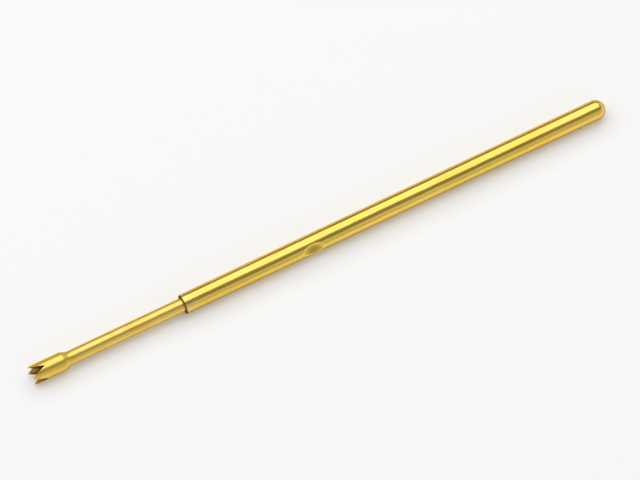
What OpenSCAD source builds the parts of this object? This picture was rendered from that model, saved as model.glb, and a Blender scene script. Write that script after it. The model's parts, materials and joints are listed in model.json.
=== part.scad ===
// Spring-loaded test probe tip: a thin gold-plated tube, closed at the rear, holds a coil spring and
// a plunger with a four-point crown head. Two dents pressed into the tube reach into the plunger's
// neck and keep it in. The probe lies along X with its crown at -X. The origin is on the axis, in the
// plane of the tube's mouth. Lengths are in millimetres.

/* [Barrel] */
// Length of the barrel from its mouth to the end of its dome
barrel_len = 24.6; // [20:0.1:32]
// Outside diameter of the barrel
barrel_od = 1.05; // [0.95:0.01:1.4]
// Thickness of the barrel's wall
barrel_wall = 0.125; // [0.09:0.005:0.14]
// Radius of the rounded outer edge at the mouth
mouth_round = 0.06; // [0.03:0.01:0.08]
// Depth of the bevel inside the mouth
mouth_bevel = 0.03; // [0.01:0.005:0.04]

/* [Retaining dents] */
// Number of dents around the barrel
dent_count = 2; // [2:1:4]
// Length of a dent along the barrel, on the outside
dent_len = 1.2; // [1:0.05:1.5]
// Turn of the first dent about the axis, from straight up towards -Y
dent_turn = 62; // [0:1:120]
// Radial gap between a dent and the plunger's neck
dent_gap = 0.03; // [0.02:0.005:0.05]

/* [Plunger] */
// How far the crown stands out of the mouth at rest
projection = 8.7; // [8.6:0.05:10]
// Full stroke of the plunger
stroke = 6.35; // [4:0.05:6.4]
// Length of full-diameter shaft that stays inside the mouth at rest
guide_len = 0.45; // [0.3:0.05:1]
// Radial clearance of the plunger in the bore
run_clearance = 0.03; // [0.01:0.005:0.04]
// Axial room between the plunger's shoulders and the dents at either end of the stroke
stop_gap = 0.02; // [0.01:0.005:0.05]
// Depth of the neck below the shaft
neck_depth = 0.12; // [0.1:0.005:0.15]
// Length of the full-diameter tail behind the neck
tail_len = 2.2; // [1.5:0.1:3]
// Length of the pilot that centres the spring on the tail
pilot_len = 0.45; // [0.3:0.05:0.8]
// Bevel on the plunger's turned edges
edge_bevel = 0.04; // [0.02:0.005:0.06]

/* [Crown head] */
// How far the head stands out around the shaft
head_lip = 0.13; // [0.06:0.01:0.15]
// Length of the head's straight side
head_len = 1.85; // [1.4:0.05:1.9]
// Length of the cone between the head and the shaft
shoulder_len = 0.3; // [0.1:0.05:0.32]
// Depth of the crossed grooves that leave the points
crown_depth = 0.85; // [0.4:0.05:1.1]
// Flat left on each point, measured across a groove
point_land = 0.015; // [0.01:0.005:0.04]
// Turn of the grooves about the axis
crown_turn = 0; // [0:1:90]

/* [Spring] */
// Diameter of the spring wire
wire_d = 0.12; // [0.09:0.01:0.14]
// Radial room between the spring and the bore
spring_clearance = 0.04; // [0.03:0.005:0.06]
// Axial room at each end of the spring
seat_gap = 0.02; // [0.01:0.005:0.05]
// Share of the fully pressed spring's length that is wire
solid_share = 0.62; // [0.5:0.01:0.75]

/* [Hidden] */
$fn = 96;
barrel_r = barrel_od / 2;
bore_r = barrel_r - barrel_wall;
dome_x = barrel_len - barrel_r;

shaft_r = bore_r - run_clearance;
neck_r = shaft_r - neck_depth;
head_r = shaft_r + head_lip;
crown_x = -projection;

// A dent is part of a sphere pressed in until the wall behind it stands dent_gap off the neck.
dent_reach = neck_r + dent_gap;
dent_depth = bore_r - dent_reach;
dent_r = (pow(dent_len / 2, 2) + pow(dent_depth, 2)) / (2 * dent_depth);
dent_offset = barrel_r - dent_depth + dent_r;
// Half the length over which a dent's inner bump is deeper than the shaft's surface
dent_half = sqrt(pow(dent_r + barrel_wall, 2) - pow(dent_offset - shaft_r, 2));
dent_x = guide_len + stroke + stop_gap + dent_half;

tail_x = dent_x + dent_half + stop_gap;
tail_end_x = tail_x + tail_len;

spring_r = bore_r - spring_clearance - wire_d / 2;
pilot_r = spring_r - wire_d / 2 - spring_clearance;
// The spring's last turn meets the inner dome where the dome is as wide as the spring.
spring_seat_x = dome_x + sqrt(pow(bore_r, 2) - pow(bore_r - spring_clearance, 2));
spring_start_x = tail_end_x + seat_gap;
spring_len = spring_seat_x - seat_gap - spring_start_x;
spring_turns = floor((spring_len - stroke) * solid_share / wire_d);
// Each end has one closed turn, wound a little wider than the wire.
closed_pitch = 1.06 * wire_d;
open_pitch = (spring_len - wire_d - 2 * closed_pitch) / (spring_turns - 2);
steps_per_turn = 12;
wire_sides = 6;

// Length by which cutting shapes run past the faces that they cut
overrun = 0.2;
gold = [0.83, 0.66, 0.22];
steel = [0.62, 0.63, 0.65];

// Turns a profile of radius and axial place about the X axis.
module turned() {
  rotate([0, 90, 0])
    rotate_extrude()
      children();
}

// Half section of the tube's outside, from the rounded mouth to the dome.
module barrel_outline() {
  intersection() {
    union() {
      translate([0, mouth_round])
        square([barrel_r, dome_x - mouth_round]);
      square([barrel_r - mouth_round, mouth_round]);
      translate([barrel_r - mouth_round, mouth_round])
        circle(mouth_round);
      translate([0, dome_x])
        circle(barrel_r);
    }
    square([barrel_r, barrel_len]);
  }
}

// Half section of the bore, from the bevelled mouth to the dome inside.
module bore_outline() {
  polygon([
    [0, -overrun],
    [bore_r + mouth_bevel + overrun, -overrun],
    [bore_r, mouth_bevel],
    [bore_r, dome_x],
    [0, dome_x]
  ]);
  intersection() {
    translate([0, dome_x])
      circle(bore_r);
    translate([0, dome_x - overrun])
      square([bore_r, bore_r + overrun]);
  }
}

// One ball for each dent, of a given radius, with its centre off the axis.
module dent_balls(radius) {
  for (i = [0 : dent_count - 1])
    rotate([dent_turn + i * 360 / dent_count, 0, 0])
      translate([dent_x, 0, dent_offset])
        sphere(radius);
}

// The wall that the dents push into the bore.
module dent_bumps() {
  intersection() {
    translate([dent_x - dent_len, 0, 0])
      rotate([0, 90, 0])
        cylinder(r = bore_r + barrel_wall / 2, h = 2 * dent_len);
    dent_balls(dent_r + barrel_wall);
  }
}

// Drawn tube with its domed end and the dents that keep the plunger in.
module barrel() {
  color(gold)
    difference() {
      union() {
        turned()
          difference() {
            barrel_outline();
            bore_outline();
          }
        dent_bumps();
      }
      dent_balls(dent_r);
    }
}

// Half section of the turned plunger, from the crown's end face to the pilot.
module plunger_outline() {
  head_end_x = crown_x + head_len;
  shaft_x = head_end_x + shoulder_len;
  pilot_end_x = tail_end_x + pilot_len;
  polygon([
    [0, crown_x],
    [head_r, crown_x],
    [head_r, head_end_x],
    [shaft_r, shaft_x],
    [shaft_r, guide_len - edge_bevel],
    [shaft_r - edge_bevel, guide_len],
    [neck_r, guide_len],
    [neck_r, tail_x],
    [shaft_r - edge_bevel, tail_x],
    [shaft_r, tail_x + edge_bevel],
    [shaft_r, tail_end_x - edge_bevel],
    [shaft_r - edge_bevel, tail_end_x],
    [pilot_r, tail_end_x],
    [pilot_r, pilot_end_x - edge_bevel],
    [pilot_r - edge_bevel, pilot_end_x],
    [0, pilot_end_x]
  ]);
}

// One V groove across the crown, running along Z through the axis.
module crown_groove() {
  half_width = head_r * cos(45) - point_land;
  outer_half = half_width * (1 + overrun / crown_depth);
  linear_extrude(height = 2 * (head_r + overrun), center = true)
    polygon([
      [crown_x + crown_depth, 0],
      [crown_x - overrun, outer_half],
      [crown_x - overrun, -outer_half]
    ]);
}

// Turned rod with the crown head outside and the neck, tail and spring pilot inside.
module plunger() {
  color(gold)
    difference() {
      turned()
        plunger_outline();
      for (turn = [0, 90])
        rotate([crown_turn + turn, 0, 0])
          crown_groove();
    }
}

// Axial place of the wire's centre after a number of turns from the spring's start.
function spring_x(turns) =
  spring_start_x + wire_d / 2
  + closed_pitch * min(turns, 1)
  + open_pitch * max(0, min(turns - 1, spring_turns - 2))
  + closed_pitch * max(0, turns - (spring_turns - 1));

// One point on the wire's surface: a ring of the coil and a side of the wire.
function wire_point(ring, side) =
  let (
    turn = 360 * ring / steps_per_turn,
    around = 360 * side / wire_sides,
    radius = spring_r + wire_d / 2 * cos(around),
    x = spring_x(ring / steps_per_turn) + wire_d / 2 * sin(around)
  )
  [x, radius * cos(turn), radius * sin(turn)];

// Coil spring swept along a helix, with one closed turn at each end.
module spring() {
  rings = spring_turns * steps_per_turn;
  points = [
    for (ring = [0 : rings])
      for (side = [0 : wire_sides - 1])
        wire_point(ring, side)
  ];
  sides = [
    for (ring = [0 : rings - 1])
      for (side = [0 : wire_sides - 1])
        let (
          next = (side + 1) % wire_sides,
          here = ring * wire_sides,
          ahead = here + wire_sides
        )
        for (face = [
          [here + side, ahead + side, ahead + next],
          [here + side, ahead + next, here + next]
        ])
          face
  ];
  first_cap = [for (side = [0 : wire_sides - 1]) side];
  last_cap = [for (side = [wire_sides - 1 : -1 : 0]) rings * wire_sides + side];
  color(steel)
    polyhedron(points, concat(sides, [first_cap, last_cap]));
}

barrel();
plunger();
spring();
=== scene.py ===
"""Looks of a spring-loaded test probe tip, built around its packed construction.

Barrel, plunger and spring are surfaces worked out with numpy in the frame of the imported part, in metres.
X runs along the axis from the crown to the domed rear end, Z is up, and the origin is on the axis in the
plane of the barrel's mouth. An angle round the axis is counted from straight up (+Z) towards -Y.
"""

import json
import math

import bpy
import numpy as np
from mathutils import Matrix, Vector


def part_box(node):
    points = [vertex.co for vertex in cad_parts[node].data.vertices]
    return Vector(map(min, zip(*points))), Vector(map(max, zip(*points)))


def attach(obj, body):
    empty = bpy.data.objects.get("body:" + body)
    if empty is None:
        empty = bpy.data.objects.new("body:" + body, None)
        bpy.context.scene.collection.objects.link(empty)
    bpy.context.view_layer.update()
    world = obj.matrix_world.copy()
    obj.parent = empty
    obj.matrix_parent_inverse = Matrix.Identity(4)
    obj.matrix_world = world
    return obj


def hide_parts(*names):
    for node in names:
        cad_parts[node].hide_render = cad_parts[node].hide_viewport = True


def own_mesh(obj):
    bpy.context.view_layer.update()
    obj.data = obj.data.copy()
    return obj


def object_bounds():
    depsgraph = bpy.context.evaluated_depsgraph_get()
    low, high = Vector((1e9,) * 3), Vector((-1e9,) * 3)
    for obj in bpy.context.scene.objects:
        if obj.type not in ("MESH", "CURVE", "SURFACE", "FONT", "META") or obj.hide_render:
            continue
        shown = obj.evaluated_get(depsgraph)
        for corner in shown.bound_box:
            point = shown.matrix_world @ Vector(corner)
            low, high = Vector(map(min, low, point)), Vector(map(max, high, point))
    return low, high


bl_info = {
    "name": "Test probe tip",
    "version": (1, 0, 0),
    "blender": (4, 5, 0),
    "location": "3D View > Sidebar > Probe tip",
    "description": "Builds a gold-plated spring probe: drawn barrel, crown plunger and coil spring",
    "category": "Add Mesh",
}

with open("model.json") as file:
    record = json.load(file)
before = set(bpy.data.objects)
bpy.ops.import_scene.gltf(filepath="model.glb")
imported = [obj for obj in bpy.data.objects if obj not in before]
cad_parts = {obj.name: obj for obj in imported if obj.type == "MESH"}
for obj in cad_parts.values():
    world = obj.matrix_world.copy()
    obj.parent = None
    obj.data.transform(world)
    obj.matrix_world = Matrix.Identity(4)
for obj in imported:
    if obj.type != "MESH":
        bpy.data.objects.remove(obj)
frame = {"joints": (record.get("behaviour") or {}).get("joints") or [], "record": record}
CAD_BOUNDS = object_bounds()

MM = 0.001
BARREL_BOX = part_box("barrel")
PLUNGER_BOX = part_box("plunger")
SPRING_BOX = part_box("spring")
SHANK = next(m for m in frame["record"]["mounts"] if m["name"] == "shank")
STROKE = next(j for j in frame["joints"] if j["name"] == "plunger_slide")["range_m"][1]


# Settings that a user would change

def length(name, description, default):
    """A length in metres, shown in the scene's own unit."""
    return bpy.props.FloatProperty(
        name=name, description=description, default=default, min=0.0, precision=6, unit="LENGTH"
    )


def turn(name, description, default):
    """An angle, given here in degrees."""
    return bpy.props.FloatProperty(
        name=name, description=description, default=math.radians(default), subtype="ANGLE"
    )


def colour(name, description, default):
    """A linear colour."""
    return bpy.props.FloatVectorProperty(
        name=name, description=description, default=default, min=0.0, max=1.0, size=3, subtype="COLOR"
    )


def level(name, description, default):
    """A brightness, where 1 is white."""
    return bpy.props.FloatProperty(name=name, description=description, default=default, min=0.0)


class BarrelSettings(bpy.types.PropertyGroup):
    """Sizes of the drawn tube."""

    radius: length("Radius", "Outside radius of the tube", SHANK["dims"]["r_mm"] * MM)
    end_x: length("End", "Axial place of the end of the dome", BARREL_BOX[1].x)
    wall: length("Wall", "Thickness of the tube's wall", 0.125 * MM)
    mouth_round: length("Mouth round", "Radius of the outer edge at the mouth", 0.06 * MM)
    mouth_bevel: length("Mouth bevel", "Depth of the bevel inside the mouth", 0.03 * MM)
    dent_count: bpy.props.IntProperty(name="Dents", description="Number of dents", default=2, min=1)
    dent_length: length("Dent length", "Length of a dent along the tube", 1.2 * MM)
    dent_depth: length("Dent depth", "How far a dent is pressed in", 0.12 * MM)
    dent_turn: turn("Dent turn", "Turn of the first dent about the axis", 62.0)
    dent_soft: length("Dent edge", "Width over which a dent's rim is rounded", 0.035 * MM)


class PlungerSettings(bpy.types.PropertyGroup):
    """Sizes of the turned rod with its crown head."""

    crown_x: bpy.props.FloatProperty(
        name="Crown", description="Axial place of the crown's points",
        default=PLUNGER_BOX[0].x, precision=6, unit="LENGTH",
    )
    end_x: length("End", "Axial place of the pilot's end", PLUNGER_BOX[1].x)
    shaft_radius: length("Shaft radius", "Radius of the shaft and the tail", 0.37 * MM)
    neck_radius: length("Neck radius", "Radius of the neck between the stops", 0.25 * MM)
    pilot_radius: length("Pilot radius", "Radius of the pilot that centres the spring", 0.20 * MM)
    head_radius: length("Head radius", "Radius of the crown head", 0.50 * MM)
    head_length: length("Head length", "Length of the head's straight side", 1.85 * MM)
    shoulder_length: length("Shoulder", "Length of the cone behind the head", 0.30 * MM)
    crown_depth: length("Crown depth", "Depth of the crossed grooves", 0.85 * MM)
    point_land: length("Point land", "Flat left on each point, across a groove", 0.015 * MM)
    crown_turn: turn("Crown turn", "Turn of the grooves about the axis", 0.0)
    edge_soft: length("Crown edge", "Radius of the crown's worn edges", 0.008 * MM)
    guide_length: length("Guide", "Shaft left inside the mouth at rest", 0.45 * MM)
    stop_gap: length("Stop gap", "Axial room between a stop and the dents", 0.02 * MM)
    tail_length: length("Tail", "Length of the tail behind the neck", 2.2 * MM)
    edge_bevel: length("Edge bevel", "Bevel on the turned edges", 0.04 * MM)
    edge_round: length("Edge round", "Radius left on every turned corner", 0.012 * MM)


class SpringSettings(bpy.types.PropertyGroup):
    """Sizes of the coil spring."""

    start_x: length("Start", "Axial place of the first turn", SPRING_BOX[0].x)
    end_x: length("End", "Axial place of the last turn", SPRING_BOX[1].x)
    wire: length("Wire", "Diameter of the wire", 0.12 * MM)
    coil_radius: length("Coil radius", "Radius of the wire's centre line", 0.30 * MM)
    turns: bpy.props.IntProperty(name="Turns", description="Number of turns", default=39, min=3)
    closed_pitch: length("Closed pitch", "Pitch of the closed turn at either end", 0.1272 * MM)


class FinishSettings(bpy.types.PropertyGroup):
    """Colours of the plating, of the film and painted shade that darken it, and of the wire."""

    gold: colour("Gold", "Colour of the plating", (0.93, 0.65, 0.145))
    gold_warm: colour("Warm gold", "Plating where it runs thin over the base metal", (0.91, 0.56, 0.085))
    gold_green: colour("Green gold", "Plating where it is thick and matt", (0.82, 0.62, 0.115))
    gold_edge: colour("Gold at the rim", "Tint of the plating seen at a flat angle", (0.50, 0.37, 0.17))
    # Painted shade as well as film: this brown darkens the dents, the crown's grooves, the bore and the
    # mouth, and lies in the tool marks
    tarnish_and_painted_shade: colour("Tarnish", "Film in dents, grooves and the mouth", (0.12, 0.066, 0.012))
    worn: colour("Worn gold", "Metal under the plating, where edges and shaft are rubbed", (0.74, 0.64, 0.42))
    steel: colour("Steel", "Colour of the spring wire", (0.60, 0.61, 0.63))
    steel_dark: colour("Drawn steel", "Wire where the drawing left it darker", (0.42, 0.42, 0.43))


class StageSettings(bpy.types.PropertyGroup):
    """Camera, floor and light."""

    azimuth: turn("Azimuth", "Camera's turn about Z, 0 looks along +Y", -28.0)
    elevation: turn("Elevation", "Camera's height above the horizon", 62.5)
    distance: length("Distance", "From the camera to the probe's middle", 0.38)
    lens: bpy.props.FloatProperty(
        name="Lens", description="Focal length in millimetres", default=417.0, subtype="DISTANCE_CAMERA"
    )
    floor: colour("Floor", "Colour of the floor", (0.90, 0.90, 0.90))
    floor_lift: level("Floor lift", "Added white where the floor is seen or mirrored", 0.14)
    key: level("Overhead softbox", "Brightness of the softbox over the probe, towards its back", 1.25)
    key_turn: turn("Overhead softbox turn", "Its middle, from straight up towards -Y", -27.0)
    key_half: turn("Overhead softbox half", "Half the angle that it takes up across the probe", 35.0)
    fill: level("Front card", "Brightness of the card low on the camera's side", 0.42)
    fill_turn: turn("Front card turn", "Its middle, from straight up towards -Y", 68.0)
    fill_half: turn("Front card half", "Half the angle that it takes up across the probe", 20.0)
    long_half: turn("Softbox long half", "Half the angle of softbox and front card along the probe", 50.0)
    ends: level("End cards", "Brightness of the low cards beyond the crown and the dome", 0.6)
    ends_half: turn("End cards half", "Half the angle that an end card takes up across the probe", 35.0)
    crown_card: turn("Crown card", "Half the angle that the card beyond the crown rises from the floor", 15.0)
    dome_card: turn("Dome card", "Half the angle that the card beyond the dome rises from the floor", 11.0)
    room: level("Room", "Brightness of the room above the horizon", 0.34)
    room_low: level("Room at the horizon", "Brightness of the room at the horizon", 0.22)


class ProbeSettings(bpy.types.PropertyGroup):
    """All settings of the probe and its stage."""

    barrel: bpy.props.PointerProperty(name="Barrel", description="Drawn tube", type=BarrelSettings)
    plunger: bpy.props.PointerProperty(name="Plunger", description="Turned rod", type=PlungerSettings)
    spring: bpy.props.PointerProperty(name="Spring", description="Coil spring", type=SpringSettings)
    finish: bpy.props.PointerProperty(name="Finish", description="Colours", type=FinishSettings)
    stage: bpy.props.PointerProperty(name="Stage", description="Camera and light", type=StageSettings)


# Surfaces

# Distance between rings on the barrel's plain run, round its dents and on the plunger
BARREL_STEP = 0.8 * MM
DENT_STEP = 0.025 * MM
PLUNGER_STEP = 0.4 * MM
# Half the run of close rings round a dent, in lengths of the dent
DENT_RUN = 0.7
# Distance from either end of an arc to the extra ring that keeps the shading of the straight run beside it
SEAM_HOLD = 0.02 * MM
# Rings that are nearer together than this count as one.
LEAST_STEP = 0.0005 * MM
# Columns round the barrel, and steps in each arc of its section
BARREL_COLUMNS = 180
BARREL_ARC_STEPS = 14
# Radius left on both edges of the bevel in the mouth
BEVEL_ROUND = 0.006 * MM
# Columns of the crown between a groove's line and the middle of an eighth of a turn, in degrees
CROWN_ANGLES = (0.0, 0.35, 0.8, 1.5, 2.6, 4.5, 7.5, 11.0, 15.0, 19.0)
# Rings of the crown's end, as shares of its radius
END_RINGS = (*np.linspace(0.04, 0.94, 14), 0.97, 1.0)
# Rings of the crown's rounded rim, in degrees
RIM_ANGLES = (30.0, 60.0, 90.0)
# Rings of the head's side, as shares of the way from the rim to the head's end
SIDE_RINGS = (0.01, 0.03, 0.08, 0.18, 0.32, 0.5, 0.68, 0.82, 0.92)
# Rounding of the crests between the grooves, in radii of the crown's worn edges
CREST_ROUND = 2.0
# Rounding of the crown's points, as a share of a groove's half width
POINT_ROUND = 0.03
# Radius of both corners of the head's shoulder, in radii of the other turned corners
SHOULDER_ROUND = 4.0
# Steps in each turn of the spring, and sides of its wire
SPRING_STEPS = 24
WIRE_SIDES = 12
# Rings of the wire's rounded tips, in degrees, and the length of a tip in radii of the wire
TIP_ANGLES = (15.0, 40.0, 65.0)
TIP_LENGTH = 0.4
# Recess at the bottom of a dent, which darkens it as painted shade. The bore has 1.
DENT_RECESS = 0.7
# Share of the crown's depth, from its points, over which the recess of its grooves, and with it their painted
# shade, grows to 1
CROWN_RECESS = 0.2
# Distance over which the wear fades from the barrel's ends and from the crown's points
BARREL_RUB = 0.12 * MM
CROWN_RUB = 0.06 * MM
# Wear of the shaft where it runs in the mouth, and the length over which it begins
RUN_WEAR = 0.12
RUN_FADE = 0.3 * MM


def smooth_min(a, b, width):
    """The lesser of a and b, with the crease between them rounded over width by a parabola."""
    share = np.clip(0.5 + 0.5 * (b - a) / width, 0.0, 1.0)
    return b + (a - b) * share - width * share * (1.0 - share)


def rounded_profile(corners, steps=8):
    """Half section through corners (x, r, round): straight runs, and an arc of radius round at each corner.

    With t the angle by which the section turns at a corner, the arc starts round * tan(t / 2) before the
    corner. Its points are start + round * (sin(u t) along + (1 - cos(u t)) across), for u from 0 to 1.
    Returns the points (x, r) and the numbers of those where an arc begins or ends.
    """
    corners = np.array(corners)
    places, rounds = corners[:, :2], corners[:, 2]
    points, seams = [places[0]], []
    for before, here, after, radius in zip(places, places[1:], places[2:], rounds[1:]):
        along = (here - before) / np.linalg.norm(here - before)
        onward = (after - here) / np.linalg.norm(after - here)
        bend = math.atan2(along[0] * onward[1] - along[1] * onward[0], along @ onward)
        across = math.copysign(1.0, bend) * np.array([-along[1], along[0]])
        angles = np.linspace(0.0, abs(bend), steps + 1)[:, None]
        start = here - along * radius * math.tan(abs(bend) / 2)
        seams += [len(points), len(points) + steps]
        points += list(start + radius * (np.sin(angles) * along + (1.0 - np.cos(angles)) * across))
    points.append(places[-1])
    return np.array(points), np.array(seams)


def stations(points, seams, coarse, fine=math.inf, fine_x=0.0, fine_half=0.0):
    """Places along a half section, as (x, r), and their shares of its length.

    They are its own points, one more on either side of each seam, one every coarse step, and one every fine
    step where x is within fine_half of fine_x. Both ends of the section are left out for the poles.
    """
    steps = np.linalg.norm(np.diff(points, axis=0), axis=1)
    along = np.concatenate([[0.0], np.cumsum(steps)])
    spread = np.arange(0.0, along[-1], min(coarse, fine))
    spread_x = np.interp(spread, along, points[:, 0])
    every = max(1, round(coarse / min(coarse, fine)))
    kept = (np.arange(len(spread)) % every == 0) | (np.abs(spread_x - fine_x) < fine_half)
    places = np.concatenate([along, along[seams] - SEAM_HOLD, along[seams] + SEAM_HOLD, spread[kept]])
    places = np.unique(np.clip(places, 0.0, along[-1]))
    apart = np.diff(places, prepend=-np.inf) > LEAST_STEP
    places = places[apart & (places > 0.0) & (places < along[-1])]
    return np.stack([np.interp(places, along, points[:, k]) for k in (0, 1)], axis=-1), places / along[-1]


def round_axis(x, radius, angle):
    """Points at axial place x, distance radius and angle round the axis, from +Z towards -Y."""
    x, radius, angle = np.broadcast_arrays(x, radius, angle)
    return np.stack([x, -radius * np.sin(angle), radius * np.cos(angle)], axis=-1)


def closed_mesh(name, rows, first_pole, last_pole, **marks):
    """Piece from rows of points (row, column, xyz) round a closed path, with a fan to a pole at either end.

    Its faces are turned so that the signed volume, the sum of a . (b x c) / 6 over its triangles, is
    positive. Each mark is a point attribute from 0 to 1, and a pole has the mean of the row beside it:
    recess says how deep a point lies in a dent, groove or bore, and wear how much it is rubbed.
    """
    count, around = rows.shape[:2]
    points = np.concatenate([rows.reshape(-1, 3), [first_pole, last_pole]])
    grid = np.arange(count * around).reshape(count, around)
    ahead = np.roll(grid, -1, axis=1)
    quads = np.stack([grid[:-1], grid[1:], ahead[1:], ahead[:-1]], axis=-1).reshape(-1, 4)
    first = np.stack([np.full(around, count * around), grid[0], ahead[0]], axis=-1)
    last = np.stack([np.full(around, count * around + 1), ahead[-1], grid[-1]], axis=-1)
    triangles = np.concatenate([quads[:, :3], quads[:, [0, 2, 3]], first, last])
    a, b, c = (points[triangles[:, k]] for k in range(3))
    order = slice(None) if np.einsum("ij,ij->i", a, np.cross(b, c)).sum() > 0 else slice(None, None, -1)
    faces = quads[:, order].tolist() + first[:, order].tolist() + last[:, order].tolist()
    mesh = bpy.data.meshes.new(name)
    mesh.from_pydata(points.tolist(), [], faces)
    mesh.polygons.foreach_set("use_smooth", np.ones(len(faces), bool))
    for mark, amount in marks.items():
        amount = np.broadcast_to(amount, (count, around))
        amount = np.concatenate([amount.ravel(), [amount[0].mean(), amount[-1].mean()]])
        mesh.attributes.new(mark, "FLOAT", "POINT").data.foreach_set("value", amount.astype(np.float32))
    mesh.update()
    piece = bpy.data.objects.new(name, mesh)
    bpy.context.scene.collection.objects.link(piece)
    return piece


def dent_ball(barrel):
    """Radius of the ball that presses a dent, and how far off the axis its centre lies.

    A ball of radius q pressed in by d leaves a mark of length l, so q = (l^2 / 4 + d^2) / 2d.
    """
    radius = (barrel.dent_length ** 2 / 4 + barrel.dent_depth ** 2) / (2 * barrel.dent_depth)
    return radius, barrel.radius - barrel.dent_depth + radius


def dent_half(barrel, plunger):
    """Half the length over which a dent inside the bore is deeper than the shaft's surface."""
    ball, offset = dent_ball(barrel)
    return math.sqrt((ball + barrel.wall) ** 2 - (offset - plunger.shaft_radius) ** 2)


def dent_place(barrel, plunger):
    """Axial place of the dents: the plunger's guide and stroke lie between the mouth and them."""
    return plunger.guide_length + STROKE + plunger.stop_gap + dent_half(barrel, plunger)


def dented(x, radius, angle, place, ball, barrel):
    """The radius of a tube's wall, pressed in where a dent's ball comes nearer to the axis.

    Along the direction at an angle e from the ball's centre, which lies c off the axis, a ball of radius
    q starts at c cos(e) - sqrt(q^2 - (x - place)^2 - c^2 sin(e)^2).
    """
    offset = dent_ball(barrel)[1]
    for number in range(barrel.dent_count):
        away = angle - barrel.dent_turn - number * math.tau / barrel.dent_count
        inside = ball ** 2 - (x - place) ** 2 - (offset * np.sin(away)) ** 2
        hit = (inside > 0.0) & (np.cos(away) > 0.0)
        near = offset * np.cos(away) - np.sqrt(np.maximum(inside, 0.0))
        radius = np.where(hit, smooth_min(radius, near, barrel.dent_soft), radius)
    return radius


def make_barrel(barrel, plunger):
    """The drawn tube: its half section turned about X, from the bore's pole through the mouth to the dome.

    The outside and the bore are pressed in by the dents, the bore by a ball larger by the wall. The recess
    grows with the depth of a dent, and is 1 in the bore. The wear falls off from either end as exp(-d / rub),
    with d the distance from that end.
    """
    bore = barrel.radius - barrel.wall
    mouth = bore + barrel.mouth_bevel
    points, seams = rounded_profile([
        (barrel.end_x - barrel.wall, 0.0, 0.0),
        (barrel.end_x - barrel.wall, bore, bore),
        (barrel.mouth_bevel, bore, BEVEL_ROUND),
        (0.0, mouth, BEVEL_ROUND),
        (0.0, barrel.radius, barrel.mouth_round),
        (barrel.end_x, barrel.radius, barrel.radius),
        (barrel.end_x, 0.0, 0.0),
    ], steps=BARREL_ARC_STEPS)
    place = dent_place(barrel, plunger)
    path, share = stations(
        points, seams, BARREL_STEP, fine=DENT_STEP, fine_x=place, fine_half=DENT_RUN * barrel.dent_length
    )
    angle = np.linspace(0.0, math.tau, BARREL_COLUMNS, endpoint=False)[None, :]
    x, radius = path[:, :1], path[:, 1:]
    # The outer edge of the mouth is half way along the section.
    outside = (share > 0.5)[:, None]
    ball = dent_ball(barrel)[0] + np.where(outside, 0.0, barrel.wall)
    pressed = dented(x, radius, angle, place, ball, barrel)
    # Painted shade: the dents darken with their depth, and the bore and the mouth's faces are fully darkened
    recess = np.where(outside, DENT_RECESS * (radius - pressed) / barrel.dent_depth, 1.0)
    wear = np.where(outside, np.exp(-x / BARREL_RUB) + np.exp((x - barrel.end_x) / BARREL_RUB), 0.0)
    rows = round_axis(x, pressed, angle)
    first, last = (points[0, 0], 0, 0), (points[-1, 0], 0, 0)
    return closed_mesh("probe_barrel", rows, first, last, recess=recess, wear=wear)


def crown_columns():
    """Angles round the crown from a groove's line, close together each eighth turn, where its edges run."""
    half = np.radians(CROWN_ANGLES)
    eighth = np.concatenate([half, math.tau / 8 - half[:0:-1]])
    return np.concatenate([eighth + k * math.tau / 8 for k in range(8)])


def crown_height(radius, angle, plunger):
    """How deep the crown is cut, in metres behind its points, at a radius and an angle from a groove.

    Each groove is a V, so the cut is depth * (1 - u / w), with u the distance from the nearer groove's
    line and w the half width at the points. Its root, crests and points are rounded.
    """
    soft = plunger.edge_soft
    half_width = plunger.head_radius * math.cos(math.tau / 8) - plunger.point_land
    across = np.hypot(radius * np.sin(angle), soft)
    along = np.hypot(radius * np.cos(angle), soft)
    nearer = smooth_min(across, along, CREST_ROUND * soft)
    return plunger.crown_depth * (1.0 - smooth_min(nearer / half_width, 1.0, POINT_ROUND))


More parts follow.
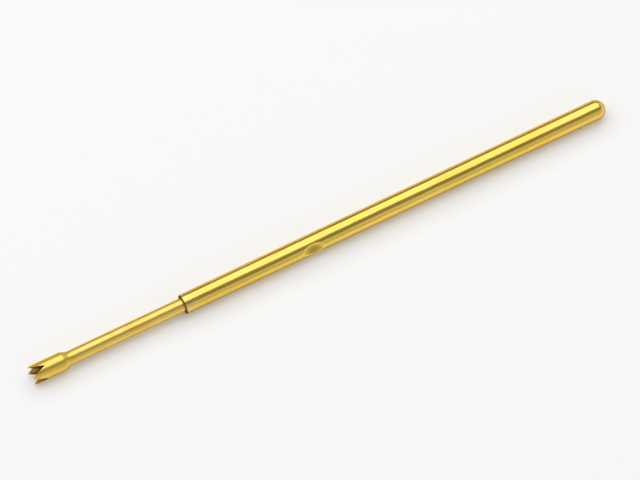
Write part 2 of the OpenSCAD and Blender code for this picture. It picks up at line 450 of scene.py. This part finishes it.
def make_plunger(plunger, barrel):
    """The turned rod: the crown as a height over its end, then the rod's half section turned about X.

    The recess grows with the depth of the crown's cut. The wear falls off behind the points as exp(-d / rub),
    with d the distance behind them, and the run of shaft that slides in the mouth has a little of it too.
    """
    head, soft = plunger.head_radius, plunger.edge_soft
    around = crown_columns()[None, :]
    angle = around + plunger.crown_turn
    disc = np.array(END_RINGS)[:, None] * (head - soft)
    end = crown_height(disc, around, plunger)
    rim = crown_height(head - soft, around, plunger)
    fillet = np.radians(RIM_ANGLES)[:, None]
    fillet_r = head - soft + soft * np.sin(fillet)
    fillet_x = rim + soft * (1.0 - np.cos(fillet))
    side = np.array(SIDE_RINGS)[:, None]
    side_x = (rim + soft) * (1.0 - side) + plunger.head_length * side

    neck_end = dent_place(barrel, plunger) + dent_half(barrel, plunger) + plunger.stop_gap
    tail_end = neck_end + plunger.tail_length
    head_end = plunger.crown_x + plunger.head_length
    shaft, neck, pilot = plunger.shaft_radius, plunger.neck_radius, plunger.pilot_radius
    bevel, corner = plunger.edge_bevel, plunger.edge_round
    points, seams = rounded_profile([
        (head_end - (1.0 - SIDE_RINGS[-1]) * plunger.head_length, head, 0.0),
        (head_end, head, SHOULDER_ROUND * corner),
        (head_end + plunger.shoulder_length, shaft, SHOULDER_ROUND * corner),
        (plunger.guide_length - bevel, shaft, corner),
        (plunger.guide_length, shaft - bevel, corner),
        (plunger.guide_length, neck, corner),
        (neck_end, neck, corner),
        (neck_end, shaft - bevel, corner),
        (neck_end + bevel, shaft, corner),
        (tail_end - bevel, shaft, corner),
        (tail_end, shaft - bevel, corner),
        (tail_end, pilot, corner),
        (plunger.end_x - bevel, pilot, corner),
        (plunger.end_x, pilot - bevel, corner),
        (plunger.end_x, 0.0, 0.0),
    ])
    path, _ = stations(points, seams, PLUNGER_STEP)
    rows = np.concatenate([
        round_axis(plunger.crown_x + end, disc, angle),
        round_axis(plunger.crown_x + fillet_x, fillet_r, angle),
        round_axis(plunger.crown_x + side_x, head, angle),
        round_axis(path[:, :1], path[:, 1:], angle),
    ])
    recess = np.zeros(rows.shape[:2])
    # Painted shade: the crown's grooves darken from the points towards their roots
    recess[:len(disc)] = np.clip(end / (CROWN_RECESS * plunger.crown_depth), 0.0, 1.0)
    x = rows[..., 0]
    run = np.clip((x + STROKE) / RUN_FADE, 0.0, 1.0) * (x < plunger.guide_length)
    wear = np.maximum(np.exp((plunger.crown_x - x) / CROWN_RUB), RUN_WEAR * run)
    first = (plunger.crown_x + float(crown_height(0.0, 0.0, plunger)), 0, 0)
    return closed_mesh("probe_plunger", rows, first, (plunger.end_x, 0, 0), recess=recess, wear=wear)


def make_spring(spring):
    """The coil: a round wire carried along a helix whose first and last turns are closed.

    The centre line is (x(t), -R sin t, R cos t). x grows by the closed pitch over each end turn and evenly
    between them. The wire's section lies across the helix, along its radius and the axis made square to
    its direction, and narrows to a rounded tip at either end.
    """
    wire = spring.wire / 2
    open_turns = spring.turns - 2
    open_pitch = (spring.end_x - spring.start_x - spring.wire - 2 * spring.closed_pitch) / open_turns
    turns = np.linspace(0.0, spring.turns, spring.turns * SPRING_STEPS + 1)
    x = spring.start_x + wire + np.interp(
        turns,
        [0.0, 1.0, 1.0 + open_turns, spring.turns],
        np.cumsum([0.0, spring.closed_pitch, open_turns * open_pitch, spring.closed_pitch]),
    )
    angle = math.tau * turns
    centre = round_axis(x, spring.coil_radius, angle)
    outward = round_axis(0.0, 1.0, angle)
    forward = np.gradient(centre, axis=0)
    forward /= np.linalg.norm(forward, axis=1, keepdims=True)
    sideways = np.cross(forward, outward)
    tip = np.radians(TIP_ANGLES)
    lead = TIP_LENGTH * wire * np.cos(tip)
    centre = np.concatenate([
        centre[0] - lead[:, None] * forward[0], centre, (centre[-1] + lead[:, None] * forward[-1])[::-1]
    ])
    thick = wire * np.concatenate([np.sin(tip), np.ones(len(x)), np.sin(tip)[::-1]])
    ends = len(tip)
    outward = np.pad(outward, ((ends, ends), (0, 0)), mode="edge")
    sideways = np.pad(sideways, ((ends, ends), (0, 0)), mode="edge")
    section = np.linspace(0.0, math.tau, WIRE_SIDES, endpoint=False)[None, :, None]
    spoke = np.cos(section) * outward[:, None] + np.sin(section) * sideways[:, None]
    rows = centre[:, None] + thick[:, None, None] * spoke
    first = centre[ends] - TIP_LENGTH * wire * forward[0]
    last = centre[-ends - 1] + TIP_LENGTH * wire * forward[-1]
    return closed_mesh("probe_spring", rows, first, last)


# Finishes

# Cell sizes of the tool marks and of the plating's drifts along X, Y and Z, depth of the marks, and roughness
# down in the marks and up between them, on the drawn barrel and on the turned plunger
DRAWN = {
    "lines": (9.0 * MM, 0.07 * MM, 0.07 * MM),
    "drifts": (2.4 * MM, 0.5 * MM, 0.5 * MM),
    "relief": 0.0045 * MM,
    "roughness": (0.22, 0.11),
}
TURNED = {
    "lines": (0.035 * MM, 4.0 * MM, 4.0 * MM),
    "drifts": (1.1 * MM, 0.6 * MM, 0.6 * MM),
    "relief": 0.0030 * MM,
    "roughness": (0.38, 0.25),
}
# Height of the waves that follow the drifts, and size of the patches in drifts
WAVE_HEIGHT = 0.006 * MM
PATCH_SIZE = 2.3
# Cell sizes of the hairlines along X, Y and Z, and their depth
HAIRLINE_CELLS = (1.6 * MM, 0.025 * MM, 0.025 * MM)
HAIRLINE_DEPTH = 0.0012 * MM
# Cell sizes of the wire's streaks and of its dark patches along X, Y and Z, and depth of the streaks
STREAK_CELLS = (0.05 * MM, 0.03 * MM, 0.03 * MM)
DARK_CELLS = (0.8 * MM, 0.3 * MM, 0.3 * MM)
STREAK_DEPTH = 0.0006 * MM

# Each of the next pairs has a range of a noise or a mark, and the range that it is taken to.

# Drifts to the share of warm gold, and patches to the share of green gold
DRIFT_WARM = ((0.45, 0.70), (0.0, 0.8))
PATCH_GREEN = ((0.50, 0.72), (0.0, 0.8))
# Tool marks to the share of film in them, which grows with their depth
MARK_FILM = ((0.52, 0.30), (0.0, 0.16))
# Hairlines to how much of the wear they show, and to the roughness that they add
HAIRLINE_WORN = ((0.42, 0.62), (0.1, 1.0))
HAIRLINE_ROUGH = ((0.60, 0.75), (0.0, 0.10))
# Recess to the share of painted shade in it, and to the roughness that it adds
RECESS_PAINTED_SHADE = ((0.05, 0.9), (0.0, 0.85))
RECESS_ROUGH = ((0.2, 1.0), (0.0, 0.12))
# The wire's patches to the share of dark steel, and its streaks to its roughness
WIRE_DARK = ((0.4, 0.7), (0.0, 1.0))
WIRE_ROUGH = ((0.3, 0.7), (0.18, 0.34))
# Range of the tool marks that is taken to a piece's own range of roughness
MARK_RANGE = (0.3, 0.75)


def add_node(tree, kind, inputs=None, **settings):
    """Adds a node with its settings, and fills its inputs with values or with links from other outputs."""
    node = tree.nodes.new(kind)
    for key, value in settings.items():
        setattr(node, key, value)
    for key, value in (inputs or {}).items():
        if isinstance(value, bpy.types.NodeSocket):
            tree.links.new(value, node.inputs[key])
        else:
            node.inputs[key].default_value = value
    return node


def new_material(name):
    """An empty node material and its node tree."""
    material = bpy.data.materials.new(name)
    material.use_nodes = True
    material.node_tree.nodes.clear()
    return material, material.node_tree


def stretched_noise(tree, cells, detail=3.0, rough=0.55):
    """Noise on object coordinates, with its mean cell size along X, Y and Z given in metres."""
    place = add_node(tree, "ShaderNodeTexCoord").outputs["Object"]
    scale = tuple(1.0 / size for size in cells)
    moved = add_node(tree, "ShaderNodeMapping", {"Vector": place, "Scale": scale}).outputs["Vector"]
    noise = add_node(
        tree, "ShaderNodeTexNoise", {"Vector": moved, "Scale": 1.0, "Detail": detail, "Roughness": rough}
    )
    return noise.outputs["Fac"]


def read_mark(tree, name):
    """A piece's own mark, which is a point attribute from 0 to 1."""
    return add_node(tree, "ShaderNodeAttribute", attribute_name=name).outputs["Fac"]


def remap(tree, value, span, target):
    """A value taken from the range span to the range target, and held to it."""
    return add_node(tree, "ShaderNodeMapRange", {
        "Value": value, "From Min": span[0], "From Max": span[1], "To Min": target[0], "To Max": target[1],
    }).outputs["Result"]


def combine(tree, operation, a, b, **settings):
    """Two values put together by an operation."""
    return add_node(tree, "ShaderNodeMath", {0: a, 1: b}, operation=operation, **settings).outputs["Value"]


def blend_colour(tree, share, a, b):
    """Colour a, going over to colour b by a share.

    A Mix node takes its share in input 0 and its colours in inputs 6 and 7, and gives its colour in output 2.
    """
    mix = add_node(tree, "ShaderNodeMix", {0: share}, data_type="RGBA")
    for key, value in ((6, a), (7, b)):
        if isinstance(value, bpy.types.NodeSocket):
            tree.links.new(value, mix.inputs[key])
        else:
            mix.inputs[key].default_value = (*value, 1.0)
    return mix.outputs[2]


def raised(tree, height, depth, below=None):
    """Normals of a surface that rises and falls by a depth, on top of the relief below it."""
    bump = add_node(tree, "ShaderNodeBump", {"Height": height, "Strength": 1.0, "Distance": depth})
    if below is not None:
        tree.links.new(below, bump.inputs["Normal"])
    return bump.outputs["Normal"]


def gold_plating(name, finish, lines, drifts, relief, roughness):
    """Bright gold plating over tool marks.

    lines and drifts are the cell sizes of the tool marks and of the plating's slow changes, which tint it and
    make it wavy. relief is the depth of the marks, and roughness that down in them and up between them.
    Marks hold a brown film. Recessed places get the same brown as painted shade, and are duller.
    Worn places show the metal below in hairlines along the axis.
    """
    material, tree = new_material(name)
    marks = stretched_noise(tree, lines)
    drift = stretched_noise(tree, drifts, detail=2.0)
    patches = stretched_noise(tree, tuple(PATCH_SIZE * size for size in drifts), detail=1.0)
    hairlines = stretched_noise(tree, HAIRLINE_CELLS, detail=2.0)
    recess = read_mark(tree, "recess")
    wear = read_mark(tree, "wear")

    warm = blend_colour(tree, remap(tree, drift, *DRIFT_WARM), finish.gold, finish.gold_warm)
    plate = blend_colour(tree, remap(tree, patches, *PATCH_GREEN), warm, finish.gold_green)
    lined = blend_colour(tree, remap(tree, marks, *MARK_FILM), plate, finish.tarnish_and_painted_shade)
    rubbed = combine(tree, "MULTIPLY", wear, remap(tree, hairlines, *HAIRLINE_WORN))
    bare = blend_colour(tree, rubbed, lined, finish.worn)
    # Painted shade: recessed places (dents, the crown's grooves, the bore and the mouth) are darkened towards
    # the brown
    base = blend_colour(tree, remap(tree, recess, *RECESS_PAINTED_SHADE), bare, finish.tarnish_and_painted_shade)

    dull = combine(
        tree, "ADD", remap(tree, recess, *RECESS_ROUGH), remap(tree, hairlines, *HAIRLINE_ROUGH)
    )
    rough = combine(tree, "ADD", remap(tree, marks, MARK_RANGE, roughness), dull)
    wavy = raised(tree, drift, WAVE_HEIGHT)
    tooled = raised(tree, marks, relief, below=wavy)
    shader = add_node(tree, "ShaderNodeBsdfPrincipled", {
        "Base Color": base,
        "Roughness": rough,
        "Metallic": 1.0,
        "Specular Tint": (*finish.gold_edge, 1.0),
        "Normal": raised(tree, hairlines, HAIRLINE_DEPTH, below=tooled),
    })
    add_node(tree, "ShaderNodeOutputMaterial", {"Surface": shader.outputs["BSDF"]})
    return material


def spring_wire(finish):
    """Bright drawn spring wire, with darker patches and fine streaks that vary its gloss."""
    material, tree = new_material("spring_wire")
    streaks = stretched_noise(tree, STREAK_CELLS)
    patches = stretched_noise(tree, DARK_CELLS, detail=2.0)
    shader = add_node(tree, "ShaderNodeBsdfPrincipled", {
        "Base Color": blend_colour(tree, remap(tree, patches, *WIRE_DARK), finish.steel, finish.steel_dark),
        "Roughness": remap(tree, streaks, *WIRE_ROUGH),
        "Metallic": 1.0,
        "Normal": raised(tree, streaks, STREAK_DEPTH),
    })
    add_node(tree, "ShaderNodeOutputMaterial", {"Surface": shader.outputs["BSDF"]})
    return material


def dress(piece, material, node, body):
    """Gives a piece its finish, and puts it in the place of its construction node on its body."""
    piece.data.materials.append(material)
    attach(piece, body)
    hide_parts(node)


# Stage

# Half the side of the floor, and the distance from the probe to its lamps, in metres
FLOOR_HALF = 1.5
LAMP_DISTANCE = 0.45
# Heights above the horizon, as sines, between which the room goes over to its full brightness
ROOM_RISE = (0.05, 0.6)
# Nearest and farthest distance that the camera shows, in metres
CAMERA_CLIP = (0.01, 10.0)


def floor_paper(stage):
    """Pale matt paper that keeps the probe's shadow and is lifted to white where it is seen or mirrored."""
    material, tree = new_material("floor_paper")
    path = add_node(tree, "ShaderNodeLightPath").outputs
    mirrored = combine(tree, "ADD", path["Is Glossy Ray"], path["Is Transmission Ray"])
    seen = combine(tree, "ADD", path["Is Camera Ray"], mirrored, use_clamp=True)
    lift = combine(tree, "MULTIPLY", seen, stage.floor_lift)
    paper = add_node(tree, "ShaderNodeBsdfDiffuse", {"Color": (*stage.floor, 1.0)})
    glow = add_node(tree, "ShaderNodeEmission", {"Strength": lift})
    both = add_node(tree, "ShaderNodeAddShader", {0: paper.outputs["BSDF"], 1: glow.outputs["Emission"]})
    add_node(tree, "ShaderNodeOutputMaterial", {"Surface": both.outputs["Shader"]})
    return material


def add_floor(stage, height):
    """A wide square floor at a height."""
    half = FLOOR_HALF
    corners = [(-half, -half, height), (half, -half, height), (half, half, height), (-half, half, height)]
    mesh = bpy.data.meshes.new("floor")
    mesh.from_pydata(corners, [], [(0, 1, 2, 3)])
    floor = bpy.data.objects.new("floor", mesh)
    bpy.context.scene.collection.objects.link(floor)
    mesh.materials.append(floor_paper(stage))


def add_softbox(name, target, towards, half_wide, half_high, brightness):
    """A soft lamp that faces the target from a direction, hidden from the camera but mirrored in metal.

    Seen from the target it takes up twice the angles half_wide and half_high. A lamp of power P and area A
    looks P / (pi A) bright.
    """
    lamp = bpy.data.lights.new(name, "AREA")
    lamp.shape = "RECTANGLE"
    lamp.size = 2.0 * LAMP_DISTANCE * math.tan(half_wide)
    lamp.size_y = 2.0 * LAMP_DISTANCE * math.tan(half_high)
    lamp.energy = brightness * math.pi * lamp.size * lamp.size_y
    softbox = bpy.data.objects.new(name, lamp)
    bpy.context.scene.collection.objects.link(softbox)
    softbox.location = target + LAMP_DISTANCE * towards
    softbox.rotation_euler = towards.to_track_quat("Z", "Y").to_euler()
    softbox.visible_camera = False


def around_axis(angle):
    """Direction square to the probe's axis, at an angle from straight up towards -Y."""
    return Vector((0.0, -math.sin(angle), math.cos(angle)))


def along_axis(side, height):
    """Direction past one end of the probe, at an angle above the horizon."""
    return Vector((side * math.cos(height), 0.0, math.sin(height)))


def add_room(stage):
    """A plain grey room: dark at the horizon and paler overhead."""
    world = bpy.data.worlds.new("room")
    world.use_nodes = True
    tree = world.node_tree
    tree.nodes.clear()
    way = add_node(tree, "ShaderNodeTexCoord").outputs["Generated"]
    up = add_node(tree, "ShaderNodeSeparateXYZ", {"Vector": way}).outputs["Z"]
    shade = remap(tree, up, ROOM_RISE, (stage.room_low, stage.room))
    light = add_node(tree, "ShaderNodeBackground", {"Strength": shade})
    add_node(tree, "ShaderNodeOutputWorld", {"Surface": light.outputs["Background"]})
    bpy.context.scene.world = world


def add_camera(stage, target):
    """A long lens that looks at the target from the given azimuth and elevation."""
    camera = bpy.data.cameras.new("camera")
    camera.lens = stage.lens
    camera.clip_start, camera.clip_end = CAMERA_CLIP
    holder = bpy.data.objects.new("camera", camera)
    bpy.context.scene.collection.objects.link(holder)
    flat = math.cos(stage.elevation)
    back = Vector((
        math.sin(stage.azimuth) * flat, -math.cos(stage.azimuth) * flat, math.sin(stage.elevation)
    ))
    holder.location = target + stage.distance * back
    holder.rotation_euler = back.to_track_quat("Z", "Y").to_euler()
    bpy.context.scene.camera = holder


# Operators

class PROBETIP_OT_barrel(bpy.types.Operator):
    """Builds the drawn tube with its mouth, dents and domed end"""

    bl_idname = "probetip.barrel"
    bl_label = "Barrel"

    def execute(self, context):
        probe = context.scene.probe_tip
        gold = gold_plating("drawn_gold", probe.finish, **DRAWN)
        dress(make_barrel(probe.barrel, probe.plunger), gold, "barrel", "barrel")
        return {"FINISHED"}


class PROBETIP_OT_plunger(bpy.types.Operator):
    """Builds the turned rod with its crown head, shaft, neck, tail and pilot"""

    bl_idname = "probetip.plunger"
    bl_label = "Plunger"

    def execute(self, context):
        probe = context.scene.probe_tip
        gold = gold_plating("turned_gold", probe.finish, **TURNED)
        dress(make_plunger(probe.plunger, probe.barrel), gold, "plunger", "plunger")
        return {"FINISHED"}


class PROBETIP_OT_spring(bpy.types.Operator):
    """Builds the coil spring at rest, with a mesh of its own; the real spring shortens towards the domed end
    as the plunger slides in
    """

    bl_idname = "probetip.spring"
    bl_label = "Spring"

    def execute(self, context):
        probe = context.scene.probe_tip
        coil = make_spring(probe.spring)
        dress(coil, spring_wire(probe.finish), "spring", "barrel")
        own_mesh(coil)
        return {"FINISHED"}


class PROBETIP_OT_stage(bpy.types.Operator):
    """Sets up the floor, the softboxes, the room and the camera"""

    bl_idname = "probetip.stage"
    bl_label = "Stage"

    def execute(self, context):
        stage = context.scene.probe_tip.stage
        low, high = CAD_BOUNDS
        middle = (low + high) / 2
        add_floor(stage, low.z)
        over, front = around_axis(stage.key_turn), around_axis(stage.fill_turn)
        add_softbox("overhead_softbox", middle, over, stage.long_half, stage.key_half, stage.key)
        add_softbox("front_card", middle, front, stage.long_half, stage.fill_half, stage.fill)
        cards = (("crown_card", -1.0, stage.crown_card), ("dome_card", 1.0, stage.dome_card))
        for name, side, half in cards:
            add_softbox(name, middle, along_axis(side, half), stage.ends_half, half, stage.ends)
        add_room(stage)
        add_camera(stage, middle)
        context.scene.view_settings.view_transform = "Standard"
        return {"FINISHED"}


class PROBETIP_PT_sidebar(bpy.types.Panel):
    """Lists the settings of the pieces and the stage, with a button that builds each"""

    bl_idname = "PROBETIP_PT_sidebar"
    bl_label = "Probe tip"
    bl_space_type = "VIEW_3D"
    bl_region_type = "UI"
    bl_category = "Probe tip"

    def draw(self, context):
        probe = context.scene.probe_tip
        self.list_settings(probe.finish)
        self.list_settings(probe.barrel).operator(PROBETIP_OT_barrel.bl_idname)
        self.list_settings(probe.plunger).operator(PROBETIP_OT_plunger.bl_idname)
        self.list_settings(probe.spring).operator(PROBETIP_OT_spring.bl_idname)
        self.list_settings(probe.stage).operator(PROBETIP_OT_stage.bl_idname)

    def list_settings(self, settings):
        """Shows a group of settings in a box of its own, and returns the box."""
        box = self.layout.box()
        for key in type(settings).__annotations__:
            box.prop(settings, key)
        return box


CLASSES = (
    BarrelSettings,
    PlungerSettings,
    SpringSettings,
    FinishSettings,
    StageSettings,
    ProbeSettings,
    PROBETIP_OT_barrel,
    PROBETIP_OT_plunger,
    PROBETIP_OT_spring,
    PROBETIP_OT_stage,
    PROBETIP_PT_sidebar,
)


def register():
    """Adds the classes, and the settings to the scene."""
    for each in CLASSES:
        bpy.utils.register_class(each)
    bpy.types.Scene.probe_tip = bpy.props.PointerProperty(
        name="Probe tip", description="Settings of the probe", type=ProbeSettings
    )


def unregister():
    """Takes the settings and the classes away again."""
    del bpy.types.Scene.probe_tip
    for each in reversed(CLASSES):
        bpy.utils.unregister_class(each)


def main():
    """Builds the stage and the pieces."""
    register()
    bpy.ops.probetip.stage()
    bpy.ops.probetip.barrel()
    bpy.ops.probetip.plunger()
    bpy.ops.probetip.spring()


if __name__ == "__main__":
    main()
